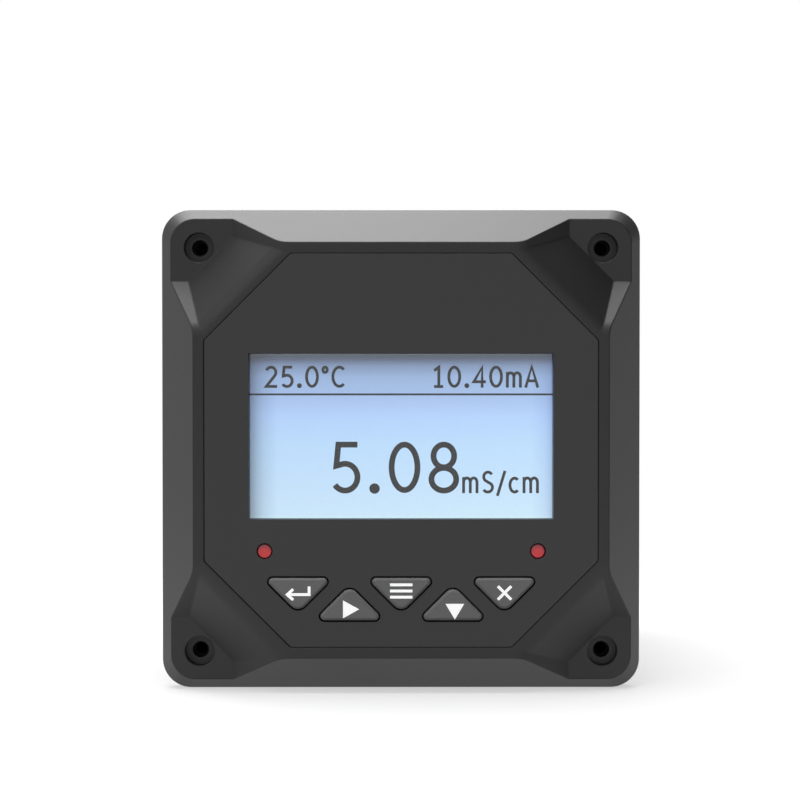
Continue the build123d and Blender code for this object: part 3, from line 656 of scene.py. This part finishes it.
class CONTROLLER_OT_front(bpy.types.Operator):
    """Finish the bezel, the overlay, the keys, the window, the display and the lamps"""

    bl_idname = "controller.front"
    bl_label = "Front finishes"

    def execute(self, context):
        looks = context.scene.controller_looks
        # Dark and dull, so that the slopes and facets tell apart by the light on them; their edges carry
        # painted shade
        dress(
            ["front_bezel"],
            moulded_plastic(
                "Black polycarbonate, spark-eroded mould",
                looks.bezel_colour,
                roughness=0.44,
                edge_mm=0.5,
                level=0.36,
                # Painted shade on the bezel's edges
                painted_edge_shade=0.8,
            ),
        )
        # Flatter and more even than the bezel round it, so the joint shows as a hair line
        dress(
            ["front_overlay"],
            moulded_plastic(
                "Matt polyester film over ABS",
                looks.overlay_colour,
                roughness=0.55,
                grain_mm=0.2,
                depth=0.15,
            ),
        )
        # Paler and softer than the front, with a rounded edge that catches light above
        dress(
            [f"key_{key}" for key in KEYS],
            moulded_plastic(
                "Grey silicone rubber, moulded",
                looks.key_colour,
                roughness=0.6,
                grain_mm=0.25,
                depth=0.2,
                edge_mm=0.25,
            ),
        )
        # Barely seen: a faint veil over the display
        dress(["display_window"], clear_acrylic("Clear acrylic, cast"))
        dress(["display_glass"], lit_display("Liquid crystal glass, lit from behind", looks.glow))
        for side in ("left", "right"):
            low, high = corners(f"lamp_{side}")
            face = [float(low[0] + high[0]) / 2, float(low[1]), float(low[2] + high[2]) / 2]
            # Painted light, not emission: pale red low in the lens, darker towards the rim
            dress(
                [f"lamp_{side}"],
                epoxy_with_painted_light(f"Red epoxy with painted light, {side}", face, "56262C", "C4282E"),
            )
        return {"FINISHED"}


class CONTROLLER_OT_housing(bpy.types.Operator):
    """Finish the rear housing, its plate, the gasket, the clamps and the inserts"""

    bl_idname = "controller.housing"
    bl_label = "Housing finishes"

    def execute(self, context):
        looks = context.scene.controller_looks
        # The glass filler gives a greyer, rougher skin than the bezel's
        dress(
            ["rear_housing", "rear_plate"],
            moulded_plastic(
                "Glass-filled nylon, moulded",
                looks.housing_colour,
                roughness=0.55,
                grain_mm=0.4,
                depth=0.35,
                edge_mm=0.3,
            ),
        )
        # Waxy and a little glossier, as a sliding piece is
        dress(
            ["mounting_clamp_left", "mounting_clamp_right"],
            moulded_plastic(
                "Black acetal, moulded", "1F2022", roughness=0.45, grain_mm=0.35, depth=0.2, edge_mm=0.3
            ),
        )
        # Dead black beside the plastic
        dress(["panel_gasket"], soft_rubber("Black EPDM, moulded", "1C1C1D"))
        # No gloss at all, from the cells that the die cut open
        dress(["window_seal"], soft_rubber("Closed-cell foam, die-cut", "242425", 0.85))
        # Dark enough that the corner holes read as black
        dress(["threaded_inserts"], plated_metal("Steel, black oxide, matt", "1E1E1F", 0.6))
        # A warm ring round each clamp screw
        dress(
            ["clamp_insert_left", "clamp_insert_right"],
            plated_metal("Brass, turned and knurled", "C9A55C", 0.3),
        )
        return {"FINISHED"}


class CONTROLLER_OT_electronics(bpy.types.Operator):
    """Finish the boards and everything on them"""

    bl_idname = "controller.electronics"
    bl_label = "Electronics finishes"

    def execute(self, context):
        # Green with paler tracks, seen through the vents
        dress(
            ["display_board", "main_board", "power_board"],
            circuit_laminate("Glass-epoxy laminate, green solder mask", "1F5A35", "3F7F4E"),
        )
        # Soft grey reflections
        dress(["display_frame", "input_shield"], plated_metal("Tinned steel, pressed", "B9BBBD", 0.32))
        # Bright and slightly blue
        dress(["display_board_screws"], plated_metal("Steel, zinc plated", "C3C6C8", 0.28, 0.2))
        # Milk-white and even, to spread the light
        dress(
            ["display_backlight"],
            moulded_plastic("White acrylic, moulded", "E4E8EA", roughness=0.4, grain_mm=0.3, depth=0.1),
        )
        # Small, sharp-edged and satin
        dress(
            ["key_switches", "processor"] + [f"plunger_{key}" for key in KEYS],
            moulded_plastic(
                "Black nylon, moulded", "232426", roughness=0.45, grain_mm=0.2, depth=0.15, edge_mm=0.08
            ),
        )
        # A shade blacker and glossier than the switches
        dress(
            ["board_header_main", "board_header_power", "board_socket_main", "board_socket_power",
             "lamp_spacers"],
            moulded_plastic(
                "Black polyester, moulded", "1D1D1F", roughness=0.4, grain_mm=0.2, depth=0.15, edge_mm=0.08
            ),
        )
        # Dull, with a coarse sand-like skin
        dress(
            ["power_module", "isolation_module"],
            moulded_plastic(
                "Epoxy-filled case, moulded", "202124", roughness=0.5, grain_mm=0.3, depth=0.3, edge_mm=0.15
            ),
        )
        # The clear blue that relay cases have
        dress(
            ["output_relays"],
            moulded_plastic(
                "Blue polyester, moulded", "2E5C9A", roughness=0.4, grain_mm=0.3, depth=0.15, edge_mm=0.1
            ),
        )
        # Shiny and smooth, drawn tight over the can
        dress(
            ["smoothing_capacitors"],
            moulded_plastic(
                "PVC sleeve, shrunk on", "23283F", roughness=0.3, grain_mm=0.4, depth=0.1, edge_mm=0.3
            ),
        )
        # Rounded by its own thickness, with a slight orange-peel skin
        dress(
            ["surge_disc"],
            moulded_plastic(
                "Epoxy coating, dipped", "2F5FA8", roughness=0.4, grain_mm=0.5, depth=0.3, edge_mm=0.3
            ),
        )
        # Stony and matt
        dress(
            ["choke"],
            moulded_plastic(
                "Ferrite, sintered", "3B3A3C", roughness=0.6, grain_mm=0.25, depth=0.4, edge_mm=0.2
            ),
        )
        dress(["fuse"], clear_acrylic("Glass tube, drawn"))
        # Slightly yellow under the tin
        dress(["fuse_clips"], plated_metal("Bronze, tinned", "C7C3B4", 0.3, 0.2))
        # The full green of terminal blocks, satin
        dress(
            ["terminal_block_upper", "terminal_block_lower"],
            moulded_plastic(
                "Green polyamide, moulded", "2C7A4A", roughness=0.42, grain_mm=0.35, depth=0.2, edge_mm=0.15
            ),
        )
        # Warm and bright, so that screws and cages show in their wells
        dress(
            ["terminal_screws_upper", "terminal_screws_lower", "wire_cages_upper", "wire_cages_lower"],
            plated_metal("Steel, nickel plated", "BDBBB2", 0.25, 0.2),
        )
        return {"FINISHED"}


class CONTROLLER_OT_reading(bpy.types.Operator):
    """Draw the display's reading: one large number with its unit, two small ones and a rule"""

    bl_idname = "controller.reading"
    bl_label = "Display reading"

    def execute(self, context):
        looks = context.scene.controller_looks
        tall, small = looks.figure_height, looks.word_height
        thin, heavy, rule = 0.6 * MM, 1.2 * MM, 0.4 * MM
        head_left, head_right, figures_left, unit_left = -28.2 * MM, 28.4 * MM, -14.6 * MM, 12.6 * MM
        top_line, rule_level, base_line = 12.9 * MM, 11.5 * MM, -8.95 * MM
        layer = GLASS_FRONT + INK_LIFT
        current = "10.40mA"
        head = text_bands("25.0°C", small, thin, head_left, top_line)
        head += text_bands(current, small, thin, head_right - text_width(current, small), top_line)
        ends = [WINDOW_LOW[0] - WINDOW_LAP / 2, WINDOW_HIGH[0] + WINDOW_LAP / 2]
        head.append(ribbon(np.array([[end, rule_level] for end in ends]), rule))
        main = text_bands("5.08", tall, heavy, figures_left, base_line)
        main += text_bands("mS/cm", 1.03 * small, thin, unit_left, base_line)
        # Near black and without gloss, since it lies inside the glass
        ink = printed_ink("Liquid crystal, switched dark", "10161E", roughness=0.6, level=0.0)
        shown_mesh("display_header", *on_front(head, layer), "unit", "display_glass", ink)
        shown_mesh("display_figures", *on_front(main, layer), "unit", "display_glass", ink)
        return {"FINISHED"}


class CONTROLLER_OT_symbols(bpy.types.Operator):
    """Print the symbols on the five keys: return arrow, right, bars, down and cross"""

    bl_idname = "controller.symbols"
    bl_label = "Key symbols"

    def execute(self, context):
        size = context.scene.controller_looks.symbol_size
        weight = size / 8
        layer = KEY_FRONT + INK_LIFT
        centres = {
            "enter": (-21.2, -29.3),
            "right": (-10.3, -32.57),
            "menu": (0.0, -28.8),
            "down": (11.0, -33.05),
            "escape": (21.2, -29.2),
        }
        # Corners of the filled arrows and points of the drawn lines, as shares of the symbol's size
        filled = {
            "right": [(-0.36, -0.4), (0.36, 0.0), (-0.36, 0.4)],
            "down": [(-0.42, 0.35), (0.0, -0.35), (0.42, 0.35)],
        }
        lines = {
            "enter": [
                path((0.5, 0.31), (0.5, -0.05), (-0.45, -0.05)),
                path((-0.21, 0.19), (-0.475, -0.05), (-0.21, -0.29)),
            ],
            "menu": [path((-0.5, height), (0.5, height)) for height in (0.275, 0.0, -0.275)],
            "escape": [path((-0.3, 0.3), (0.3, -0.3)), path((-0.3, -0.3), (0.3, 0.3))],
        }
        # Clean white on the grey rubber, lifted by a painted glow
        ink = printed_ink("White epoxy ink, pad printed", "FAFAFA", ink_painted_glow=0.2)
        for key, place in centres.items():
            centre = np.array(place) * MM
            if key in filled:
                bands = [(np.array(filled[key]) * size + centre, np.array([[0, 1, 2]]))]
            else:
                bands = [ribbon(stroke * size + centre, weight) for stroke in lines[key]]
            shown_mesh(f"symbol_{key}", *on_front(bands, layer), f"{key}_key", "key_plastic", ink)
        return {"FINISHED"}


class CONTROLLER_OT_plate_screws(bpy.types.Operator):
    """Make the rear plate's four countersunk screws with their cross recesses"""

    bl_idname = "controller.plate_screws"
    bl_label = "Rear plate screws"

    def execute(self, context):
        low, high = corners("rear_plate_screws")
        length = high[1] - low[1]
        head, shank, point = 2.65 * MM, 1.15 * MM, 0.3 * MM  # radii
        arm, half, deep = 1.45 * MM, 0.3 * MM, 1.2 * MM  # of the cross
        step = 0.04 * MM  # how far a recess's wall leans
        rim, taper = 0.08 * MM, 1.0 * MM
        levels = np.array([-arm, -arm + step, -half, -half + step, half - step, half, arm - step, arm])

        def sunk(x, z):
            """Flat, less a cross whose arms grow deeper towards the middle."""
            cross = np.maximum(
                (np.abs(x) < arm) & (np.abs(z) < half), (np.abs(z) < arm) & (np.abs(x) < half)
            )
            return cross * (deep - 0.5 * np.hypot(x, z))

        t = np.array([rim, head - shank, 4 * MM, length - taper, length])
        radii = np.array([head, shank, shank, shank, point])
        shape, faces = screw_shape(
            levels, head, sunk, t, lambda rows, a: np.interp(rows, t, radii) + 0 * a
        )
        reach = high[0] - head  # from the plate's middle to each screw
        points, quads = [], []
        for x in (-reach, reach):
            for z in (-reach, reach):
                quads += [[corner + len(points) * len(shape) for corner in face] for face in faces]
                points.append(shape + [x, high[1], z])
        piece = shown_mesh(
            "plate_screws_cross",
            np.concatenate(points),
            quads,
            "unit",
            "steel_screws",
            plated_metal("Steel, black oxide", "4A4B4D", 0.35, 0.2),
            smooth=False,
        )
        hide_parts("rear_plate_screws")
        return {"FINISHED"}


class CONTROLLER_OT_clamp_screws(bpy.types.Operator):
    """Make the two clamp screws with their cut threads and slotted heads"""

    bl_idname = "controller.clamp_screws"
    bl_label = "Clamp screws"

    def execute(self, context):
        pitch = context.scene.controller_looks.thread_pitch
        metal = plated_metal("Steel, zinc plated and bright", "C9CBCC", 0.25, 0.3)
        for side in ("left", "right"):
            low, high = corners(f"clamp_screw_{side}")
            axis = (low[0] + high[0]) / 2
            head = (high[0] - low[0]) / 2
            length, thick = high[1] - low[1], 2.6 * MM  # of the whole screw and of its head
            radius, depth = 1.95 * MM, 0.38 * MM  # of the shank and of its thread
            half, step, deep = 0.5 * MM, 0.03 * MM, 1.3 * MM  # of the slot
            rim, fall = 0.3 * MM, 0.2 * MM  # where the head's rounded edge ends, and its drop
            run_out, taper = 1.0 * MM, 1.2 * MM  # of the thread below the head, and of the tip
            core = 0.62 * head
            levels = np.array([-core, -core / 2, -half, -half + step, half - step, half, core / 2, core])

            def sunk(x, z):
                """Flat, less a slot right across, with a small fall at the rim."""
                return (np.abs(z) < half) * deep + fall * (np.hypot(x, z) > 0.98 * head)

            def reach(t, a):
                """Head, then full radius less depth times a triangle wave of t / pitch + a / turn."""
                wave = np.abs(2 * ((t / pitch + a / (2 * np.pi)) % 1) - 1)
                fade = np.clip((t - thick - run_out) / pitch, 0, 1)
                tip = np.clip((length - t) / taper, 0, 1)
                shank = (radius - depth * wave * fade) * (0.7 + 0.3 * tip)
                return np.where(t <= thick, head, shank)

            turns = np.arange(thick + 0.01 * MM, length, pitch / 6)
            t = np.concatenate([[rim, thick], turns, [length]])
            shape, faces = screw_shape(levels, head, sunk, t, reach)
            piece = shown_mesh(
                f"clamp_thread_{side}",
                shape + [axis, high[1], 0],
                faces,
                f"screw_{side}",
                "steel_screws",
                metal,
                smooth=False,
            )
            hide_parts(f"clamp_screw_{side}")
        return {"FINISHED"}


class CONTROLLER_OT_terminal_numbers(bpy.types.Operator):
    """Print the terminal numbers, 1 to 12 and 13 to 24, on the rear plate"""

    bl_idname = "controller.terminal_numbers"
    bl_label = "Terminal numbers"

    def execute(self, context):
        # A light grey that reads as white on the dark plate
        ink = printed_ink("White epoxy ink, screen printed", "D4D5D6")
        height, weight, margin, pitch, poles = 2.0 * MM, 0.25 * MM, 1.6 * MM, 5.08 * MM, 12
        bands = []
        for row, first in (("upper", 1), ("lower", 13)):
            low, high = corners(f"terminal_block_{row}")
            base = high[2] + margin if row == "upper" else low[2] - margin - height
            for place in range(poles):
                text = str(first + place)
                x = (place - (poles - 1) / 2) * pitch - text_width(text, height) / 2
                bands += text_bands(text, height, weight, x, base)
        points, faces = on_rear(bands, REAR + INK_LIFT)
        shown_mesh("terminal_numbers", points, faces, "unit", "housing_plastic", ink)
        return {"FINISHED"}


class CONTROLLER_OT_stage(bpy.types.Operator):
    """Set up the pale floor, the soft studio light and the camera"""

    bl_idname = "controller.stage"
    bl_label = "Studio"

    def execute(self, context):
        floor_level = float(corners("front_bezel")[0][2])
        mesh = bpy.data.meshes.new("studio_floor")
        reach = 4.0
        mesh.from_pydata(
            [(-reach, -reach, floor_level), (reach, -reach, floor_level), (reach, reach, floor_level),
             (-reach, reach, floor_level)],
            [],
            [(0, 1, 2, 3)],
        )
        floor = bpy.data.objects.new("studio_floor", mesh)
        context.scene.collection.objects.link(floor)
        mesh.materials.append(studio_paper("White paper sweep"))

        world = bpy.data.worlds.new("Studio")
        context.scene.world = world
        world.use_nodes = True
        tree = world.node_tree
        tree.nodes.clear()
        towards = add(tree, "ShaderNodeTexCoord").outputs["Generated"]
        # The studio is darker up on the right, which the slopes that look that way reflect
        dark_side = (0.85, -0.1, 0.51)
        side = add(tree, "ShaderNodeVectorMath", {0: towards, 1: dark_side}, operation="DOT_PRODUCT")
        shade = add(
            tree,
            "ShaderNodeMapRange",
            {"Value": side.outputs["Value"]},
            interpolation_type="SMOOTHSTEP",
            From_Min=0.55,
            From_Max=0.95,
            To_Min=1.0,
            To_Max=0.05,
        )
        camera_ray = add(tree, "ShaderNodeLightPath").outputs["Is Camera Ray"]
        softened = add(tree, "ShaderNodeMath", {0: shade.outputs[0], 1: camera_ray}, operation="MAXIMUM")
        sky = add(tree, "ShaderNodeBackground", {"Strength": softened.outputs[0]}, Color=(1, 1, 1, 1))
        add(tree, "ShaderNodeOutputWorld", {"Surface": sky.outputs[0]})

        # The box above makes the top slopes and the pads bright, and the fill opens the front
        soft_light(
            context, "Overhead box", place=(-0.06, 0.16, 0.62), size=(0.55, 0.9), power=9.0, aim=(0, 0.02, 0)
        )
        soft_light(
            context, "Front fill", place=(-0.5, -0.7, 0.6), size=(0.6, 0.6), power=1.2, aim=(0, 0, 0)
        )
        # Matched to the photo: it stands a little above and to the left, and looks at the cut-out
        camera = bpy.data.cameras.new("Photo angle")
        camera.lens, camera.sensor_width = 116.7, 36.0
        camera.shift_x, camera.shift_y = -0.0012, 0.0607
        eye = bpy.data.objects.new("Photo angle", camera)
        context.scene.collection.objects.link(eye)
        eye.location = (-0.0019, -0.548, 0.0139)
        x, y, z = eye.location
        eye.rotation_euler = (np.pi / 2 - np.arctan2(z, -y), 0.0, np.arctan2(x, -y))
        context.scene.camera = eye
        context.scene.view_settings.view_transform = "Standard"
        return {"FINISHED"}


def seen_directly(tree):
    """One for rays that come from the camera, a gloss or a clear pane, and nought for the rest."""
    light = add(tree, "ShaderNodeLightPath")
    pair = add(
        tree,
        "ShaderNodeMath",
        {0: light.outputs["Is Camera Ray"], 1: light.outputs["Is Glossy Ray"]},
        operation="MAXIMUM",
    )
    every = add(
        tree,
        "ShaderNodeMath",
        {0: pair.outputs[0], 1: light.outputs["Is Transmission Ray"]},
        operation="MAXIMUM",
    )
    return every.outputs[0]


def studio_paper(name):
    """Matt white paper: holds the object's shadow near it and runs out to pure white.

    From 0.12 m to 0.4 m off, its own colour and light give way to a plain white. Its light is a little
    stronger in what gloss and glass show of it than for the camera.
    """
    material, tree, place = new_material(name)
    length = add(tree, "ShaderNodeVectorMath", {"Vector": place}, operation="LENGTH")
    far = add(
        tree,
        "ShaderNodeMapRange",
        {"Value": length.outputs["Value"]},
        interpolation_type="SMOOTHSTEP",
        From_Min=0.12,
        From_Max=0.4,
    )
    sight = seen_directly(tree)
    seen = add(tree, "ShaderNodeMath", {0: far.outputs[0], 1: sight}, operation="MULTIPLY")
    paper = add(tree, "ShaderNodeBsdfDiffuse", Color=linear("989898"))
    camera_ray = add(tree, "ShaderNodeLightPath").outputs["Is Camera Ray"]
    share = add(tree, "ShaderNodeMapRange", {"Value": camera_ray}, To_Min=0.85, To_Max=0.53)
    lift = add(tree, "ShaderNodeMath", {0: sight, 1: share.outputs[0]}, operation="MULTIPLY")
    near = add(tree, "ShaderNodeEmission", {"Strength": lift.outputs[0]}, Color=(1, 1, 1, 1))
    lit = add(tree, "ShaderNodeAddShader", {0: paper.outputs[0], 1: near.outputs[0]})
    glow = add(tree, "ShaderNodeEmission", Color=(1, 1, 1, 1), Strength=1.0)
    mixed = add(tree, "ShaderNodeMixShader", {0: seen.outputs[0], 1: lit.outputs[0], 2: glow.outputs[0]})
    return close(material, tree, mixed)


def soft_light(context, name, place, size, power, aim):
    """A rectangular soft box that points at a place."""
    lamp = bpy.data.lights.new(name, "AREA")
    lamp.shape, lamp.size, lamp.size_y, lamp.energy = "RECTANGLE", size[0], size[1], power
    box = bpy.data.objects.new(name, lamp)
    context.scene.collection.objects.link(box)
    box.location = place
    look = np.array(aim) - np.array(place)
    flat = np.hypot(look[0], look[1])
    box.rotation_euler = (np.arctan2(flat, -look[2]), 0.0, np.arctan2(-look[0], look[1]) if flat else 0.0)


class CONTROLLER_PT_panel(bpy.types.Panel):
    """The steps, in order, and the values they use"""

    bl_label = "Panel controller"
    bl_idname = "CONTROLLER_PT_panel"
    bl_space_type = "VIEW_3D"
    bl_region_type = "UI"
    bl_category = "Controller"

    def draw(self, context):
        looks = context.scene.controller_looks
        for name in looks.bl_rna.properties.keys():
            if name not in ("rna_type", "name"):
                self.layout.prop(looks, name)
        for step in STEPS:
            self.layout.operator(step.bl_idname)


STEPS = (
    CONTROLLER_OT_stage,
    CONTROLLER_OT_front,
    CONTROLLER_OT_housing,
    CONTROLLER_OT_electronics,
    CONTROLLER_OT_reading,
    CONTROLLER_OT_symbols,
    CONTROLLER_OT_plate_screws,
    CONTROLLER_OT_clamp_screws,
    CONTROLLER_OT_terminal_numbers,
)


def register():
    """Makes the classes and the scene's values known to Blender."""
    for kind in (ControllerLooks, *STEPS, CONTROLLER_PT_panel):
        bpy.utils.register_class(kind)
    bpy.types.Scene.controller_looks = bpy.props.PointerProperty(type=ControllerLooks)


def unregister():
    """Takes them away again, in the opposite order."""
    del bpy.types.Scene.controller_looks
    for kind in (CONTROLLER_PT_panel, *reversed(STEPS), ControllerLooks):
        bpy.utils.unregister_class(kind)


def main():
    """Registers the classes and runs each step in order."""
    register()
    for step in STEPS:
        group, name = step.bl_idname.split(".")
        getattr(getattr(bpy.ops, group), name)()
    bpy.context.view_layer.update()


if __name__ == "__main__":
    main()
